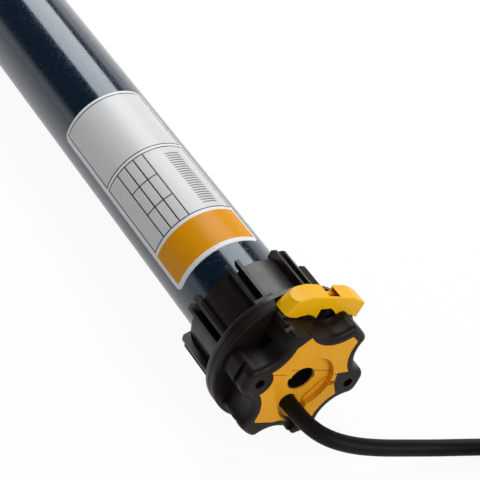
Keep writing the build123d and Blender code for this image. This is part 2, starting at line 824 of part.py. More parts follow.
def motor_leads():
    """Two insulated leads from the cable plug through the limit unit to the motor's winding."""
    solids = []
    plug_back = plate_depth + plug_depth
    winding_front = stator_start - winding_length
    for side in (-1, 1):
        route = []
        for depth, place in (
            (plug_back, lead_at_plug), (plug_back + lead_bend_r, lead_at_plug),
            (tube_start - lead_bend_r, lead_in_neck), (plate_c_end + lead_bend_r, lead_in_neck),
            (housing_end - 2 * lead_bend_r, lead_in_tube), (winding_front, lead_in_tube),
        ):
            u, v = side * place[0], place[1]
            turn = radians(head_turn)
            route.append((-depth, u * cos(turn) - v * sin(turn), u * sin(turn) + v * cos(turn)))
        solids.append(swept(FilletPolyline(*route, radius=lead_bend_r), lead_r))
    return solids


def bearing(start):
    return ring(bearing_r, shaft_big_r + running_gap, start, start + bearing_depth)


def stator_core():
    """Laminated core with radial slots, pressed into the tube."""
    shape = Circle(inner_r - stator_fit) - Circle(rotor_r + air_gap)
    for k in range(stator_slots):
        shape -= stator_slot(k, 0)
    return span(shape, stator_start, stator_end)


def stator_slot(k, inset):
    wide = 2 * pi * slot_in_r / stator_slots * slot_share - 2 * inset
    middle = (slot_in_r + slot_out_r) / 2
    slot = Pos(middle, 0) * Rectangle(slot_out_r - slot_in_r - 2 * inset, wide)
    if not inset:
        slot += Pos(slot_in_r, 0) * Rectangle(4 * air_gap + (slot_in_r - rotor_r), 3 * air_gap)
    return Rot(0, 0, 360 * k / stator_slots) * slot


def stator_windings():
    """Copper winding: bars in the slots and a rounded bundle at each end of the core."""
    body = None
    for near in (stator_start - winding_length, stator_end):
        bundle = ring(winding_out_r, winding_in_r, near, near + winding_length)
        outer = bundle.faces().sort_by(Axis.X)[-1 if near < stator_start else 0]
        bundle = fillet(outer.edges(), winding_edge_r)
        body = bundle if body is None else body + bundle
    bars = stator_slot(0, fit_gap)
    for k in range(1, stator_slots):
        bars += stator_slot(k, fit_gap)
    return body + span(bars, stator_start, stator_end)


def rotor_core():
    return ring(rotor_r, shaft_big_r, stator_start, stator_end)


def rotor_cage():
    """Short-circuit rings at both ends of the rotor core."""
    outer = rotor_r - side_gap
    return [
        ring(outer, cage_hole_r, stator_start - cage_ring_depth, stator_start),
        ring(outer, cage_hole_r, stator_end, stator_end + cage_ring_depth),
    ]


def rotor_shaft():
    """Rotor shaft: square for the brake disc, collar, round journals and the first sun wheel."""
    square_start = brake_start + brake_plate_depth
    spring_near = brake_face + brake_disc_depth + brake_travel + 2 * seat_gap
    collar_near = spring_near + disc_spring_thickness + disc_spring_rise
    square = span(Rectangle(brake_square, brake_square), square_start, collar_near)
    body = square + disc(brake_hub_r, collar_near, collar_near + bearing_lip)
    first = planet_start(0)
    body += disc(shaft_big_r, collar_near + bearing_lip, first - overrun)
    sun_root = (sun_teeth / 2 - dedendum_share) * module
    body += disc(sun_root, first - overrun, first)
    return body + gear(sun_teeth, first, first + planet_width(0), (0, 0), 180 / sun_teeth)


def planet_width(stage):
    return planet_width_first + planet_width_growth * stage


def planet_start(stage):
    start = gear_case_start + gearbox_gap
    for k in range(stage):
        start += planet_width(k) + carrier_gap + carrier_depth + planet_start_gap
    return start


def planet_wheel(stage, k):
    place = (sun_teeth + planet_teeth) * module / 2
    theta = 360 * k / planets
    phase = meshed_phase(planet_teeth, sun_teeth, 180 / sun_teeth, theta)
    near = planet_start(stage)
    far = near + planet_width(stage)
    wheel = gear(planet_teeth, near, far, polar(place, theta), phase)
    bore = Pos(*polar(place, theta)) * Circle(planet_bore_r)
    return wheel - span(bore, near - overrun, far + overrun)


def carrier(stage):
    """Planet carrier with its pins, and the next stage's sun wheel or the output shaft."""
    near = planet_start(stage) + planet_width(stage) + carrier_gap
    far = near + carrier_depth
    place = (sun_teeth + planet_teeth) * module / 2
    body = disc(carrier_r, near, far)
    for k in range(planets):
        pin = Pos(*polar(place, 360 * k / planets)) * Circle(planet_bore_r - running_gap)
        body += span(pin, planet_start(stage) - planet_start_gap / 2, near)
    if stage < 2:
        end = planet_start(stage + 1) + planet_width(stage + 1)
        return body + gear(sun_teeth, far, end, (0, 0), 180 / sun_teeth)
    flat = Circle(output_shaft_r) & Rectangle(2 * output_shaft_r, 2 * output_shaft_r * output_flat_share)
    body += disc(output_shaft_r, far, wheel_start - running_gap)
    body += span(flat, wheel_start - running_gap, shaft_end)
    groove = Circle(output_shaft_r + overrun) - Circle(clip_groove_r)
    return body - span(groove, wheel_end, wheel_end + clip_thickness + 2 * seat_gap)


def gear_case():
    """Ring gear of all three stages, cut as one long internally toothed case."""
    shape = Circle(inner_r) - tooth_outline(ring_teeth, inward=True)
    return span(shape, gear_case_start, gear_case_end)


def output_bush():
    outer = output_shaft_r + bush_wall
    near = tube_end - nose_plug_length
    return ring(outer, output_shaft_r + running_gap, near, nose_end)


def tube_nose():
    """Plug and flange that close the tube's output end and hold the bush."""
    bore_r = output_shaft_r + bush_wall
    flange = disc(nose_r, tube_end, nose_end)
    flange = chamfer(flange.faces().sort_by(Axis.X)[0].edges(), nose_edge)
    body = flange + disc(inner_r, tube_end - nose_plug_length, tube_end)
    lighten = Circle(inner_r - 2 * tube_wall) - Circle(bore_r + bush_wall)
    for k in range(nose_ribs):
        rib = Pos(inner_r / 2, 0) * Rectangle(inner_r, nose_rib_thickness)
        lighten -= Rot(0, 0, 360 * k / nose_ribs) * rib
    body -= span(lighten, tube_end - nose_plug_length - overrun, tube_end - tube_wall)
    body -= disc(bore_r, tube_end - nose_plug_length - overrun, nose_end + overrun)
    for k in range(nose_rivets):
        body -= rivet_solid(k, nose_rivets, nose_rivet_depth, nose_rivet_low, tube_r, rivet_r)
    return body


def nose_rivet_group():
    """Domed rivets through the tube's wall into the nose."""
    solids = []
    for k in range(nose_rivets):
        pin = rivet_solid(k, nose_rivets, nose_rivet_depth, nose_rivet_low, tube_r, rivet_r)
        head_high = tube_r + nose_rivet_head
        head = rivet_solid(k, nose_rivets, nose_rivet_depth, tube_r, head_high, rivet_head_r)
        solids.append(pin + head)
    return solids


def motor_tube():
    body = ring(tube_r, tube_bore_r, tube_start, tube_end)
    for k in range(rivets):
        body -= rivet_solid(k, rivets, rivet_place, inner_r - overrun, tube_r + overrun, rivet_r)
    for k in range(nose_rivets):
        body -= rivet_solid(k, nose_rivets, nose_rivet_depth, inner_r - overrun, tube_r + overrun, rivet_r)
    return body


def drive_wheel():
    """Output wheel: hub on the flattened shaft, spokes, rim and pairs of fins."""
    bore = Circle(output_shaft_r + running_gap)
    bore &= Rectangle(3 * output_shaft_r, 2 * (output_shaft_r * output_flat_share + running_gap))
    shape = (Circle(sleeve_r) - Circle(wheel_rim_in_r)) + Circle(wheel_hub_r)
    for k in range(wheel_spokes):
        length = wheel_rim_in_r - wheel_hub_r + tube_wall
        spoke = Pos((wheel_rim_in_r + wheel_hub_r) / 2, 0) * Rectangle(length, wheel_spoke_thickness)
        shape += Rot(0, 0, fin_rest_turn + 360 * k / wheel_spokes) * spoke
    body = span(shape - bore, wheel_start, wheel_end)
    return body + fin_set(sleeve_r - fin_thickness, wheel_start, wheel_end, fin_rest_turn)


def wheel_clip():
    """Open spring clip in the shaft's groove that keeps the wheel on."""
    shape = Circle(clip_r) - Circle(clip_groove_r)
    shape -= Pos(0, -clip_r / 2) * Rectangle(2 * clip_groove_r * clip_opening_share, clip_r)
    near = wheel_end + seat_gap
    return span(shape, near, near + clip_thickness)


def bend_radii(points):
    """Radius at each inner point: a share of its shorter run over the tangent of half the turn."""
    radii = []
    for before, here, after in zip(points, points[1:], points[2:]):
        first = Vector(*here) - Vector(*before)
        second = Vector(*after) - Vector(*here)
        half_turn = radians(first.get_angle(second)) / 2
        radii.append(run_share * min(first.length, second.length) / tan(half_turn))
    return radii


def swept(path, radius):
    """Tube of a given radius along a path that starts with a straight run."""
    plane = Plane(origin=path @ 0, z_dir=path % 0)
    return sweep(plane * Circle(radius), path=path)


def supply_cable():
    radii = bend_radii(cable_route)
    print("cable radii", [round(radius, 1) for radius in radii])
    path = FilletPolyline(*cable_route, radius=radii)
    tube = swept(path, cable_r)
    print_tube("cable", path, tube)
    return tube


def print_tube(name, path, tube):
    ratio = tube.volume / (pi * cable_r**2 * path.length)
    print(name, "length", round(path.length, 1), "volume over section times length", round(ratio, 4))


def coil_frame():
    """Entry point, inward direction and running direction of the coil."""
    last = Vector(*cable_route[-1])
    run = (last - Vector(*cable_route[-2])).normalized()
    inward = Vector(run.Y, -run.X, 0)
    return last, inward, run


def cable_coil():
    """Spare cable wound as one unbroken tube of half turns that spiral in and out, layer by layer.

    Every half turn is half a pitch narrower or wider than the one before. Where the spiral turns
    back, the half turn climbs one layer as two arcs that meet in its middle.
    """
    last, inward, run = coil_frame()
    here = last + run * coil_lead
    centre = here + inward * coil_outer_r
    edges = [Line(last, here)]
    tangent = run
    radius = coil_outer_r
    step = -coil_pitch / 2
    for layer, half_turns in enumerate(coil_half_turns):
        for _ in range(half_turns):
            edges.append(TangentArc(here, across(here, centre, radius), tangent=tangent))
            here = edges[-1] @ 1
            tangent = -tangent
            radius += step
        if layer < len(coil_half_turns) - 1:
            far = across(here, centre, radius) + Vector(0, 0, coil_rise)
            reach = hypot(radius, coil_rise / 2)
            edges.append(TangentArc(here, (here + far) / 2 + tangent * reach, tangent=tangent))
            edges.append(TangentArc(edges[-1] @ 1, far, tangent=edges[-1] % 1))
            here = far
            tangent = -tangent
            step = -step
            radius += step
    end = here + tangent * coil_lead
    edges.append(Line(here, end))
    path = Wire(edges)
    tube = swept(path, cable_r)
    print_tube("coil", path, tube)
    print("coil least gap", round(least_gap(edges), 2))
    return tube, end, tangent


def across(here, centre, radius):
    """Point one diameter away, straight across the coil's middle at the same height."""
    towards = Vector(centre.X - here.X, centre.Y - here.Y, 0)
    return here + towards.normalized() * (2 * radius)


def least_gap(edges):
    """Smallest space between two turns, measured on points half a turn or more apart."""
    points = []
    for edge in edges:
        count = max(2, round(edge.length / cable_r))
        points += [edge @ (k / count) for k in range(count)]
    steps = round(pi * coil_outer_r / 2 / cable_r)
    least = coil_outer_r
    for k, here in enumerate(points):
        for other in points[k + steps:]:
            least = min(least, (here - other).length - 2 * cable_r)
    return least


def cable_cores(end, tangent):
    """Four insulated cores that leave the cut sheath, and their bare copper tips."""
    across = Vector(-tangent.Y, tangent.X, 0)
    up = Vector(0, 0, 1)
    insulated = []
    tips = []
    for k in range(cores):
        turn = radians(45 + 90 * k)
        place = end + across * (core_spread * cos(turn)) + up * (core_spread * sin(turn))
        plane = Plane(origin=place, z_dir=tangent)
        insulated.append(extrude(plane * Circle(core_r), amount=core_length))
        tip = Plane(origin=place + tangent * core_length, z_dir=tangent)
        tips.append(extrude(tip * Circle(core_tip_r), amount=core_tip_length))
    return insulated, tips


def main():
    os.makedirs("parts", exist_ok=True)
    plate, spigot = cover_plate()
    parts["head_body"] = head_body()
    parts["cover_plate"] = plate + spigot
    parts["cable_plug"] = cable_plug()
    parts["centre_socket"] = centre_socket()
    parts["button_cap"] = button_cap()
    parts["up_button"] = limit_button(-1)
    parts["down_button"] = limit_button(1)
    parts["setting_switches"] = setting_switches()
    parts["crown_adapter"] = crown_adapter()
    parts["crown_ring"] = crown_ring()
    parts["limit_housing"] = limit_housing()
    parts["limit_pinion"] = limit_pinion()
    parts["reduction_gear"] = reduction_gear()
    parts["up_cam"] = limit_cam(-1)
    parts["down_cam"] = limit_cam(1)
    parts["limit_microswitches"] = limit_microswitches()
    parts["motor_leads"] = motor_leads()
    parts["motor_tube"] = motor_tube()
    parts["tube_rivets"] = tube_rivets()
    parts["capacitor"] = capacitor()
    parts["capacitor_cradle"] = capacitor_cradle()
    parts["brake_plate"] = brake_plate()
    parts["brake_lining"] = brake_lining()
    parts["brake_disc"] = brake_disc()
    parts["brake_spring"] = brake_spring()
    parts["rear_end_shield"] = rear_end_shield()
    parts["front_end_shield"] = front_end_shield()
    parts["rear_bearing"] = bearing(shield_start + bearing_lip)
    parts["front_bearing"] = bearing(gear_case_start - bearing_lip - bearing_depth)
    parts["stator_core"] = stator_core()
    parts["stator_windings"] = stator_windings()
    parts["rotor_core"] = rotor_core()
    parts["rotor_cage"] = rotor_cage()
    parts["rotor_shaft"] = rotor_shaft()
    parts["gear_case"] = gear_case()
    for stage, name in enumerate(("first", "second", "third")):
        parts[f"{name}_carrier"] = carrier(stage)
        for k in range(planets):
            parts[f"{name}_planet_{k + 1}"] = planet_wheel(stage, k)
    parts["output_bush"] = output_bush()
    parts["tube_nose"] = tube_nose()
    parts["nose_rivets"] = nose_rivet_group()
    parts["drive_wheel"] = drive_wheel()
    parts["wheel_clip"] = wheel_clip()
    parts["supply_cable"] = supply_cable()
    coil, end, tangent = cable_coil()
    parts["cable_coil"] = coil
    parts["core_wires"], parts["core_tips"] = cable_cores(end, tangent)
    for name, piece in parts.items():
        if isinstance(piece, list):
            piece = Compound(children=piece)
        export_step(piece, f"parts/{name}.step")


main()
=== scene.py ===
import math

import bpy
import numpy as np
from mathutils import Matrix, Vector


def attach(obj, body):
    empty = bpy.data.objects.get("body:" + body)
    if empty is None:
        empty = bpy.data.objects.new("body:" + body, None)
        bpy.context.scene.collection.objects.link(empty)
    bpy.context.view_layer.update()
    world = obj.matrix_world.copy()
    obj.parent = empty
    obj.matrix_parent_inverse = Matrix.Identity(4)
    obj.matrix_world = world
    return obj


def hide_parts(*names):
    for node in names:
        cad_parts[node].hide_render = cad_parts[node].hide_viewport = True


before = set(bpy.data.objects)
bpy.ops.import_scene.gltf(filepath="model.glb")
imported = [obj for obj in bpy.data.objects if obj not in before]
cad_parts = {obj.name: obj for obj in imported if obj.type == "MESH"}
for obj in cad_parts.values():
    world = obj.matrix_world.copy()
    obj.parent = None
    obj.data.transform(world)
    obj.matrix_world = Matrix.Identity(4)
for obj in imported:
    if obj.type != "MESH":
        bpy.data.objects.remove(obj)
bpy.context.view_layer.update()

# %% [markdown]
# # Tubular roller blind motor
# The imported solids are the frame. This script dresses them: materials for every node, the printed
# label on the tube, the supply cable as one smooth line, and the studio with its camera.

MM = 0.001
tube_r = 22.5 * MM
cable_r = 3.5 * MM
floor_z = -33.0 * MM

# %% [markdown]
# ## Camera
# The motor is seen from in front and above, near enough for strong perspective. The view could be
# set by eye or solved. It is solved: straight runs of the tube, the flange and the star give its
# direction, and the 45 mm tube its distance, so that edges fall where they do in the photograph.

# %%
# Camera
camera_azimuth = math.radians(60.156)
camera_elevation = math.radians(45.707)
camera_place = Vector((355.952, -233.923, 517.429)) * MM
camera_lens = 126.035
sensor_width = 36.0
clip_near = 0.01
clip_far = 20.0


def make_camera():
    """Camera at its place, turned to look down its azimuth and elevation.

    The way back from what it sees is (sin azimuth cos elevation, -cos azimuth cos elevation,
    sin elevation).
    """
    data = bpy.data.cameras.new("camera")
    data.lens = camera_lens
    data.sensor_width = sensor_width
    data.clip_start = clip_near
    data.clip_end = clip_far
    camera = bpy.data.objects.new("camera", data)
    across = math.cos(camera_elevation)
    back = Vector((
        math.sin(camera_azimuth) * across,
        -math.cos(camera_azimuth) * across,
        math.sin(camera_elevation),
    ))
    camera.location = camera_place
    camera.rotation_mode = "QUATERNION"
    camera.rotation_quaternion = (-back).to_track_quat("-Z", "Y")
    bpy.context.collection.objects.link(camera)
    bpy.context.scene.camera = camera


make_camera()

# %% [markdown]
# ## Supply cable
# The real cable is an extruded round sheath, stiff enough to run in wide bends. Joined arcs would
# show their seams, and a simulated rope adds nothing to a cable at rest, so it is one smooth
# curve through a short list of given points: out of the plug, down to the floor and
# along it. The length that the photograph doesn't show lies beside the view as a coil of four
# layers.

# %%
# Cable line: route and coil in millimetres
cable_route = [
    (-8.0, -6.1, -10.56), (4.0, -6.1, -10.56), (12.6, -3.8, -13.0), (19.0, 0.8, -15.4),
    (24.2, 8.6, -18.6), (28.0, 18.6, -22.2), (31.2, 29.4, -25.6), (35.4, 41.0, -28.4),
    (41.2, 53.6, -29.5), (48.4, 66.6, -29.5), (57.5, 80.0, -29.5), (68.5, 92.0, -29.5),
    (81.0, 101.0, -29.5),
]
coil_outer_r = 46.0
coil_pitch = 7.8
coil_rise = 7.9
coil_half_turns = (5, 5, 5, 2)
coil_lead = 7.0
points_per_half_turn = 8
curve_order = 3
curve_steps = 5


def coil_points():
    """Control points of the coil: half turns that spiral in, climb a layer, then spiral out.

    A half turn of radius r gets points at r / cos(half a step), so that the line touches its
    circle.
    """
    last = Vector(cable_route[-1])
    run = (last - Vector(cable_route[-2])).normalized()
    inward = Vector((run.y, -run.x, 0.0))
    here = last + run * coil_lead
    centre = here + inward * coil_outer_r
    forward = run
    radius = coil_outer_r
    step = -coil_pitch / 2
    points = []
    for layer, half_turns in enumerate(coil_half_turns):
        climbs = layer < len(coil_half_turns) - 1
        for half in range(half_turns + climbs):
            rise = coil_rise if half == half_turns else 0.0
            towards = Vector((centre.x - here.x, centre.y - here.y, 0.0)).normalized()
            middle = here + towards * radius
            reach = radius / math.cos(math.pi / points_per_half_turn / 2)
            for k in range(points_per_half_turn):
                turn = math.pi * (k + 0.5) / points_per_half_turn
                around = forward * math.sin(turn) - towards * math.cos(turn)
                lift = Vector((0.0, 0.0, rise * (k + 0.5) / points_per_half_turn))
                points.append(middle + around * reach + lift)
            here = here + towards * (2 * radius) + Vector((0.0, 0.0, rise))
            forward = -forward
            if half < half_turns:
                radius += step
        step = -step
        radius += step
    points.append(here + forward * coil_lead)
    return points


def make_cable():
    """The cable as one curve of quadratic pieces, as thick at each point as the point's radius."""
    curve = bpy.data.curves.new("supply_cable_line", "CURVE")
    curve.dimensions = "3D"
    curve.bevel_depth = 1.0
    curve.bevel_resolution = curve_steps
    curve.resolution_u = curve_steps
    curve.use_fill_caps = True
    points = [Vector(point) for point in cable_route] + coil_points()
    spline = curve.splines.new("NURBS")
    spline.points.add(len(points) - 1)
    for target, point in zip(spline.points, points):
        target.co = (*(point * MM), 1.0)
        target.radius = cable_r
    spline.order_u = curve_order
    spline.use_endpoint_u = True
    cable = bpy.data.objects.new("cable_sheath", curve)
    bpy.context.collection.objects.link(cable)
    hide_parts("supply_cable", "cable_coil")
    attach(cable, "housing")
    return cable


cable = make_cable()

# %% [markdown]
# ## Materials
# The motor is moulded plastic, painted steel, printed film, rubber and bare metal. Flat colours
# would look like toys, and pictures of surfaces would need mapping and have a fixed sharpness. So
# every material is a small node tree on Object coordinates, and its grain has a real size.
# Colours are written as they look, and one function turns them into linear light.

# %%
# Material helpers
noise_span = (0.3, 0.7)


def linear(colour):
    """Linear RGBA of a colour written as #rrggbb, by the standard curve of screens.

    A share of up to 0.04045 is divided by 12.92. Above it, 0.055 is added, the sum is divided by
    1.055 and raised to the power 2.4.
    """
    parts = [int(colour[k:k + 2], 16) / 255 for k in (1, 3, 5)]
    parts = [c / 12.92 if c <= 0.04045 else ((c + 0.055) / 1.055) ** 2.4 for c in parts]
    return (*parts, 1.0)


def add(tree, kind, **values):
    """New node: values named after sockets are set on them, the others on the node itself."""
    node = tree.nodes.new(kind)
    for name, value in values.items():
        socket = node.inputs.get(name.replace("_", " "))
        if socket is not None:
            if isinstance(value, bpy.types.NodeSocket):
                tree.links.new(value, socket)
            else:
                socket.default_value = value
        else:
            setattr(node, name, value)
    return node


def new_material(name, **values):
    """Material with a Principled shader whose plain values are set, and its object coordinates."""
    material = bpy.data.materials.new(name)
    material.use_nodes = True
    tree = material.node_tree
    shader = tree.nodes["Principled BSDF"]
    for key, value in values.items():
        shader.inputs[key.replace("_", " ")].default_value = value
    place = add(tree, "ShaderNodeTexCoord").outputs["Object"]
    return material, tree, shader, place


def noise(tree, place, size, detail=2.0):
    """Noise whose features are about size millimetres wide."""
    node = add(tree, "ShaderNodeTexNoise", Vector=place, Scale=1 / (size * MM), Detail=detail)
    return node.outputs["Fac"]


def spread(tree, value, low, high, out_low, out_high):
    """Value mapped from one span to another, held at the ends."""
    node = add(tree, "ShaderNodeMapRange")
    for socket, number in zip(node.inputs[1:5], (low, high, out_low, out_high)):
        socket.default_value = number
    tree.links.new(value, node.inputs[0])
    return node.outputs["Result"]


def blend(tree, value, first, second):
    """Colour that goes from the first to the second with the value."""
    node = add(tree, "ShaderNodeMix", data_type="RGBA")
    tree.links.new(value, node.inputs["Factor"])
    colours = [socket for socket in node.inputs if socket.type == "RGBA"]
    for socket, colour in zip(colours, (first, second)):
        if isinstance(colour, bpy.types.NodeSocket):
            tree.links.new(colour, socket)
        else:
            socket.default_value = linear(colour)
    return [socket for socket in node.outputs if socket.type == "RGBA"][0]


def tint(tree, shader, share, first, second):
    """Base colour that goes from the first to the second with the share."""
    tree.links.new(blend(tree, share, first, second), shader.inputs["Base Color"])


def gloss(tree, shader, value, roughness, less, more, span=noise_span):
    """Roughness that wanders with a value, from less below the stated one to more above it."""
    rough = spread(tree, value, *span, roughness - less, roughness + more)
    tree.links.new(rough, shader.inputs["Roughness"])


def bump(tree, shader, height, depth):
    """Surface relief of a depth in millimetres."""
    node = add(tree, "ShaderNodeBump", Height=height, Distance=depth * MM, Strength=1.0)
    tree.links.new(node.outputs["Normal"], shader.inputs["Normal"])


# %%
# Plastics, paint, rubber, metals and film. All sizes and depths are in millimetres.
sheen_index = 1.5
flow_size, flow_span = 18.0, (0.35, 0.7)
uneven_size = 6.0
flake_size, flake_share, flake_span = 0.8, 0.35, (0.8, 0.97)
flake_gloss_span = (0.1, 0.9)
flake_relief = 0.02
coat_weight, coat_roughness = 0.45, 0.08
mark_relief = 0.006
dust_size, dust_span = 9.0, (0.4, 0.75)
rubber_level, rubber_gloss_size = 0.14, 3.0
rubber_grain, rubber_relief = 0.6, 0.01
film_cloud, film_gloss_size = 4.0, 1.5
film_grain, film_relief = 0.8, 0.004
paint_edge = 0.12


def moulded(name, colour, paler, roughness, grain=0.35, depth=0.012, level=0.5):
    """Moulded plastic: fine spark-eroded grain, slight flow marks and uneven gloss."""
    material, tree, shader, place = new_material(name, IOR=sheen_index, Specular_IOR_Level=level)
    flow = spread(tree, noise(tree, place, flow_size, detail=3.0), *flow_span, 0.0, 1.0)
    tint(tree, shader, flow, colour, paler)
    uneven = noise(tree, place, uneven_size, detail=4.0)
    gloss(tree, shader, uneven, roughness, less=0.05, more=0.07)
    bump(tree, shader, noise(tree, place, grain), depth)
    return material


def flake_paint(name, colour, flake, sheen, roughness):
    """Gloss paint under a clear coat, with a bluish sheen.

    Its bright flakes are a tenth of a millimetre wide, too fine to show, so they are drawn as cells
    of nearly a millimetre, each with its own brightness and gloss.
    """
    material, tree, shader, place = new_material(
        name, Specular_IOR_Level=0.5, Specular_Tint=linear(sheen),
        Coat_Weight=coat_weight, Coat_Roughness=coat_roughness,
    )
    cells = add(tree, "ShaderNodeTexVoronoi", Vector=place, Scale=1 / (flake_size * MM))
    cell = cells.outputs["Color"]
    tint(tree, shader, spread(tree, cell, *flake_span, 0.0, flake_share), colour, flake)
    gloss(tree, shader, cell, roughness, less=0.08, more=0.12, span=flake_gloss_span)
    bump(tree, shader, noise(tree, place, flake_size), flake_relief)
    return material


def metal(name, colour, paler, roughness, size=0.25, stretch=(1.0, 1.0, 1.0)):
    """Bare metal with fine tool marks drawn out along an axis."""
    material, tree, shader, place = new_material(name, Metallic=1.0)
    marks = add(tree, "ShaderNodeMapping", Vector=place)
    marks.inputs["Scale"].default_value = stretch
    fine = noise(tree, marks.outputs["Vector"], size, detail=3.0)
    tint(tree, shader, fine, colour, paler)
    gloss(tree, shader, fine, roughness, less=0.08, more=0.08)
    bump(tree, shader, fine, mark_relief)
    return material


def rubber(name, colour, paler, roughness):
    """Cable sheath: smooth, faintly dusty, with uneven gloss and a fine grain."""
    material, tree, shader, place = new_material(
        name, IOR=sheen_index, Specular_IOR_Level=rubber_level
    )
    dust = spread(tree, noise(tree, place, dust_size, detail=5.0), *dust_span, 0.0, 1.0)
    tint(tree, shader, dust, colour, paler)
    uneven = noise(tree, place, rubber_gloss_size, detail=3.0)
    gloss(tree, shader, uneven, roughness, less=0.05, more=0.06)
    bump(tree, shader, noise(tree, place, rubber_grain), rubber_relief)
    return material


def paper(name, colour, paler, roughness, level=0.5):
    """Label film: even colour with a faint fibre relief under a satin varnish."""
    material, tree, shader, place = new_material(name, Specular_IOR_Level=level)
    tint(tree, shader, noise(tree, place, film_cloud, detail=3.0), colour, paler)
    gloss(tree, shader, noise(tree, place, film_gloss_size), roughness, less=0.04, more=0.04)
    bump(tree, shader, noise(tree, place, film_grain), film_relief)
    return material


def paint_over(material, axis, low, high, colour):
    """A colour where the distance along an axis, in millimetres, lies between low and high.

    The distance is the dot product of place and axis. Its difference from the middle of the span,
    without sign, is compared with half the span, and the colour fades out over a narrow edge.
    """
    tree = material.node_tree
    target = tree.nodes["Principled BSDF"].inputs["Base Color"]
    place = add(tree, "ShaderNodeTexCoord").outputs["Object"]
    along = add(tree, "ShaderNodeVectorMath", operation="DOT_PRODUCT")
    tree.links.new(place, along.inputs[0])
    along.inputs[1].default_value = axis
    far = add(tree, "ShaderNodeMath", operation="SUBTRACT")
    tree.links.new(along.outputs["Value"], far.inputs[0])
    far.inputs[1].default_value = (low + high) / 2 * MM
    size = add(tree, "ShaderNodeMath", operation="ABSOLUTE")
    tree.links.new(far.outputs["Value"], size.inputs[0])
    half = (high - low) / 2 * MM
    share = spread(tree, size.outputs["Value"], half, half + paint_edge * MM, 1.0, 0.0)
    before = target.links[0].from_socket
    tree.links.new(blend(tree, share, before, colour), target)


black_plastic = moulded("black_plastic", "#15110e", "#1b1613", 0.42, level=0.16)
crown_plastic = moulded("crown_plastic", "#16110e", "#1c1714", 0.3, level=0.36)
socket_plastic = moulded("socket_plastic", "#0b0908", "#110e0d", 0.5, level=0.3)
yellow_plastic = moulded(
    "yellow_plastic", "#e19c18", "#e5a321", 0.42, grain=0.5, depth=0.01, level=0.15
)
cap_plastic = moulded(
    "cap_plastic", "#f0b206", "#f3b80d", 0.34, grain=0.5, depth=0.008, level=0.2
)
white_plastic = moulded("white_plastic", "#d8d6cf", "#e2e0da", 0.45)
grey_plastic = moulded("grey_plastic", "#4a4c50", "#55575b", 0.4)
insulation = moulded("insulation", "#5a2d18", "#66351d", 0.4)
lining = moulded("friction_lining", "#2a2724", "#38342f", 0.8, grain=0.8, depth=0.05)
navy_paint = flake_paint("navy_paint", "#021829", "#243d52", "#b6cde4", 0.18)
sheath = rubber("cable_sheath", "#131111", "#191717", 0.5)
steel = metal("steel", "#a7a8ab", "#b9babd", 0.3, stretch=(0.2, 1.0, 1.0))
core_steel = metal("core_steel", "#6d6e71", "#7e7f82", 0.4, size=0.5, stretch=(3.0, 0.3, 0.3))
aluminium = metal("cast_aluminium", "#b9bbbe", "#c9cbce", 0.42, size=0.8)
copper = metal("copper", "#b36a3c", "#c47b4a", 0.28, size=0.6, stretch=(0.4, 1.0, 1.0))
bronze = metal("bronze", "#9c7640", "#ab8550", 0.4)
label_white = paper("label_white", "#e0e2e2", "#e2e4e4", 0.42, level=0.35)
label_silver = paper("label_silver", "#cdcfd0", "#d0d2d3", 0.4, level=0.42)
label_orange = paper("label_orange", "#dc9003", "#de9408", 0.3, level=0.12)
label_ink = paper("label_ink", "#1d1e20", "#232426", 0.4, level=0.3)
label_grey = paper("label_grey", "#6f7174", "#747679", 0.38)

# %% [markdown]
# ## Parting line and black tip of the insert
# The insert is two mouldings that meet in a fine dark line, and the upper left corner of its star
# is covered by the black head. Both could be cut into the solids. They are colour here, because
# the line is a fifth of a millimetre wide and the solids are never changed by this script.

# %%
# Parting line and black tip, in millimetres along an axis
head_up = (0.0, 0.5, 0.8660254)
tip_axis = (0.0, -0.3605, 0.9356)
parting_line = (4.5, 4.7)
tip_span = (23.3, 60.0)
paint_over(yellow_plastic, head_up, *parting_line, "#8f5a08")
paint_over(yellow_plastic, tip_axis, *tip_span, "#15110e")

# %% [markdown]
# ## Materials onto the nodes
# Each real piece is made of one stuff, so each node gets one material. A table by name is easier
# to read and to change than a rule, and the pieces that it leaves out are the steel ones.

# %%
# Materials onto the nodes
node_materials = {
    "head_body": black_plastic, "centre_socket": socket_plastic, "crown_adapter": crown_plastic,
    "tube_nose": crown_plastic, "drive_wheel": crown_plastic, "cover_plate": yellow_plastic,
    "cable_plug": yellow_plastic, "button_cap": cap_plastic, "up_button": socket_plastic,
    "down_button": socket_plastic, "motor_tube": navy_paint, "supply_cable": sheath,
    "cable_coil": sheath, "setting_switches": white_plastic, "limit_housing": white_plastic,
    "limit_pinion": white_plastic, "reduction_gear": white_plastic,
    "capacitor_cradle": white_plastic, "crown_ring": white_plastic,
    "limit_microswitches": grey_plastic, "up_cam": grey_plastic, "down_cam": grey_plastic,
    "capacitor": grey_plastic, "stator_core": core_steel, "rotor_core": core_steel,
    "rear_end_shield": aluminium, "front_end_shield": aluminium, "rotor_cage": aluminium,
    "stator_windings": copper, "core_tips": copper, "output_bush": bronze,
    "brake_lining": lining, "brake_disc": lining, "motor_leads": insulation,
    "core_wires": insulation,
}


def dress_nodes():
    """Every node gets its material; what the table leaves out is steel."""
    for name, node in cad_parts.items():
        material = node_materials.get(name, steel)
        if not node.material_slots:
            node.data.materials.append(material)
        for slot in node.material_slots:
            slot.material = material


dress_nodes()
cable.data.materials.append(sheath)

# %% [markdown]
# ## Label
# The real label is a printed film wrapped round the tube. Its print here is bare of words: a
# white border, two silvery panels with fine frames, a small table of empty cells, a block of even
# bars and an orange band. It could be a picture on the tube. It is a thin grid with a material
# per cell, because its lines then stay sharp from near and the film has a rim.

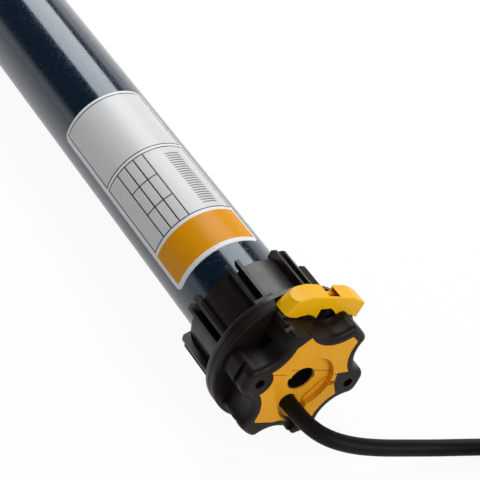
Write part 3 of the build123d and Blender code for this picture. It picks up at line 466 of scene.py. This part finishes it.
# %%
# Label on the tube: places along it in millimetres, turns round it in degrees
label_height = 0.12 * MM
label_corner = 3.5
label_x = (-172.0, -63.0)
label_turn = (46.0, 166.0)
line_width = 0.6
degrees_per_mm = math.degrees(MM / tube_r)
corner_steps = 6
turn_step = 2.0
panel_one = (-170.5, -131.2, 48.5, 160.0)
panel_two = (-129.8, -86.2, 48.5, 160.0)
band = (-84.4, -65.6, 49.0, 161.0)
table_rows = (101.5, 113.5, 125.5, 138.0)
table_columns = (-115.3, -101.2)
bars_x = (-125.0, -89.0)
bars_turn = (62.0, 80.0)
bars_count = 22
label_prints = (label_white, label_silver, label_orange, label_ink, label_grey)
white, silver, orange, ink, grey = range(len(label_prints))


def frame_cells(box):
    """Four thin strips along the inside of a box of x and turn."""
    x0, x1, a0, a1 = box
    turn = line_width * degrees_per_mm
    return [
        (x0, x0 + line_width, a0, a1), (x1 - line_width, x1, a0, a1),
        (x0, x1, a0, a0 + turn), (x0, x1, a1 - turn, a1),
    ]


def label_regions():
    """(box, place in label_prints) pairs, later ones printed over earlier ones."""
    half = line_width / 2
    turn = half * degrees_per_mm
    regions = [((*label_x, *label_turn), white), (panel_one, silver), (panel_two, silver)]
    regions.append((band, orange))
    regions += [(box, ink) for box in frame_cells(panel_one) + frame_cells(panel_two)]
    for row in table_rows:
        regions.append(((panel_two[0], panel_two[1], row - turn, row + turn), ink))
    for column in table_columns:
        regions.append(((column - half, column + half, table_rows[0], table_rows[-1]), ink))
    pitch = (bars_x[1] - bars_x[0]) / bars_count
    for k in range(bars_count):
        start = bars_x[0] + k * pitch
        regions.append(((start, start + pitch / 2, *bars_turn), grey))
    return regions


def round_corners(x, turn):
    """Points of the four corner squares moved onto quarter circles.

    From the middle of a corner's circle a point lies at (p, q), in parts of the radius. It moves
    along its own ray so that its distance becomes the larger of |p| and |q|.
    """
    turn_corner = label_corner * degrees_per_mm
    near_x = np.clip(x, label_x[0] + label_corner, label_x[1] - label_corner)
    near_turn = np.clip(turn, label_turn[0] + turn_corner, label_turn[1] - turn_corner)
    p = (x - near_x) / label_corner
    q = (turn - near_turn) / turn_corner
    away = np.hypot(p, q)
    larger = np.maximum(np.abs(p), np.abs(q))
    pull = np.divide(larger, away, out=np.ones_like(away), where=away > 0.0)
    return near_x + (x - near_x) * pull, near_turn + (turn - near_turn) * pull


def make_label():
    """Grid whose lines follow the edges of the print, a material per cell, with a turned-down rim.

    A point at x and turn a lies at (x, R cos a, R sin a), where R is the tube's radius plus the
    film's height. The outermost ring of points lies as far under the tube's surface, so that no
    gap shows at the rim.
    """
    regions = label_regions()
    steps = np.linspace(0.0, 1.0, corner_steps + 1)[1:]
    turn_corner = label_corner * degrees_per_mm
    xs = {round(v, 3) for box, _ in regions for v in box[:2]}
    xs |= set(label_x[0] + label_corner * steps) | set(label_x[1] - label_corner * steps)
    xs = sorted(xs)
    turns = {round(v, 3) for box, _ in regions for v in box[2:]}
    turns |= set(np.arange(*label_turn, turn_step))
    turns |= set(label_turn[0] + turn_corner * steps) | set(label_turn[1] - turn_corner * steps)
    turns = sorted(turns)
    xs = [xs[0]] + xs + [xs[-1]]
    turns = [turns[0]] + turns + [turns[-1]]
    height = np.full((len(xs), len(turns)), tube_r + label_height)
    height[0, :] = height[-1, :] = height[:, 0] = height[:, -1] = tube_r - label_height
    x, turn = round_corners(*np.meshgrid(xs, turns, indexing="ij"))
    angle = np.radians(turn)
    points = np.stack([x * MM, height * np.cos(angle), height * np.sin(angle)], -1)
    rows, columns = height.shape
    index = np.arange(rows * columns).reshape(rows, columns)
    corners = np.stack([index[:-1, :-1], index[:-1, 1:], index[1:, 1:], index[1:, :-1]], -1)
    middle_x = (np.array(xs)[:-1] + np.array(xs)[1:])[:, None] / 2
    middle_turn = (np.array(turns)[:-1] + np.array(turns)[1:])[None, :] / 2
    print_of = np.zeros((rows - 1, columns - 1), int)
    for (x0, x1, a0, a1), print_place in regions:
        inside = (middle_x > x0) & (middle_x < x1) & (middle_turn > a0) & (middle_turn < a1)
        print_of[inside] = print_place
    mesh = bpy.data.meshes.new("label_film")
    mesh.from_pydata(points.reshape(-1, 3).tolist(), [], corners.reshape(-1, 4).tolist())
    mesh.polygons.foreach_set("material_index", print_of.ravel())
    mesh.polygons.foreach_set("use_smooth", np.ones(print_of.size, bool))
    for material in label_prints:
        mesh.materials.append(material)
    label = bpy.data.objects.new("label_film", mesh)
    bpy.context.collection.objects.link(label)
    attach(label, "housing")


make_label()

# %% [markdown]
# ## Studio
# A product picture is taken on white paper under softboxes. Lights alone would leave a grey,
# shadowed floor, and a floor that only glows would float the motor, so the white floor is mostly
# an even glow to the eye, less of one in mirror images, and takes light as paper does. A large
# softbox overhead, behind the tube, draws the long highlight, and a smaller, weaker one stands in
# front. The world is a white backdrop that fades to a dim ceiling, which keeps the dark paint
# dark.

# %%
# Floor, world and lights, in metres and watts
floor_size = 12.0
floor_colour = "#fafafa"
floor_roughness = 0.9
glow_shares = {"Is Camera Ray": 0.94, "Is Glossy Ray": 0.62, "Is Transmission Ray": 0.94}
backdrop_light = 1.0
ceiling_light = 0.07
backdrop_top = (0.16, 0.3)
overhead = {"place": (-1.2, 0.467, 0.85), "target": (-1.2, 0.0, 0.0), "size": (1.6, 0.835)}
front = {"place": (1.1, 0.35, 0.75), "target": (0.0, 0.0, 0.0), "size": (0.8, 0.8)}
overhead_power = 24.0
front_power = 11.0


def glow_share(tree):
    """How much of the floor is an even white glow, by the kind of ray that meets it.

    Each kind's mark, 0 or 1, is multiplied by its share, and the largest product counts. Rays that
    only carry light have none.
    """
    rays = add(tree, "ShaderNodeLightPath")
    share = None
    for name, part in glow_shares.items():
        node = add(tree, "ShaderNodeMath", operation="MULTIPLY")
        tree.links.new(rays.outputs[name], node.inputs[0])
        node.inputs[1].default_value = part
        if share is not None:
            larger = add(tree, "ShaderNodeMath", operation="MAXIMUM")
            tree.links.new(share, larger.inputs[0])
            tree.links.new(node.outputs["Value"], larger.inputs[1])
            node = larger
        share = node.outputs["Value"]
    return share


def make_floor():
    """Square of paper at the height on which the motor lies, part paper and part glow."""
    mesh = bpy.data.meshes.new("floor")
    half = floor_size / 2
    corners = [(-half, -half, floor_z), (half, -half, floor_z), (half, half, floor_z)]
    corners.append((-half, half, floor_z))
    mesh.from_pydata(corners, [], [(0, 1, 2, 3)])
    floor = bpy.data.objects.new("floor", mesh)
    bpy.context.collection.objects.link(floor)
    material, tree, shader, _ = new_material(
        "floor_paper", Base_Color=linear(floor_colour), Roughness=floor_roughness
    )
    glow = add(tree, "ShaderNodeEmission", Strength=1.0)
    mix = add(tree, "ShaderNodeMixShader")
    tree.links.new(glow_share(tree), mix.inputs[0])
    tree.links.new(shader.outputs["BSDF"], mix.inputs[1])
    tree.links.new(glow.outputs["Emission"], mix.inputs[2])
    tree.links.new(mix.outputs["Shader"], tree.nodes["Material Output"].inputs["Surface"])
    mesh.materials.append(material)


def make_world():
    """White backdrop that fades to a dim ceiling: its brightness follows the ray's height."""
    world = bpy.data.worlds.new("studio")
    world.use_nodes = True
    tree = world.node_tree
    background = tree.nodes["Background"]
    direction = add(tree, "ShaderNodeTexCoord").outputs["Generated"]
    height = add(tree, "ShaderNodeSeparateXYZ", Vector=direction).outputs["Z"]
    strength = spread(tree, height, *backdrop_top, backdrop_light, ceiling_light)
    tree.links.new(strength, background.inputs["Strength"])
    background.inputs["Color"].default_value = (1.0, 1.0, 1.0, 1.0)
    bpy.context.scene.world = world


def make_light(name, power, place, target, size):
    """Rectangular softbox that shines from its place to its target, its first side level."""
    data = bpy.data.lights.new(name, "AREA")
    data.shape = "RECTANGLE"
    data.size, data.size_y = size
    data.energy = power
    light = bpy.data.objects.new(name, data)
    light.location = place
    light.rotation_mode = "QUATERNION"
    light.rotation_quaternion = (Vector(target) - Vector(place)).to_track_quat("-Z", "Y")
    bpy.context.collection.objects.link(light)


make_floor()
make_world()
make_light("overhead_softbox", overhead_power, **overhead)
make_light("front_softbox", front_power, **front)
bpy.context.scene.view_settings.view_transform = "Standard"
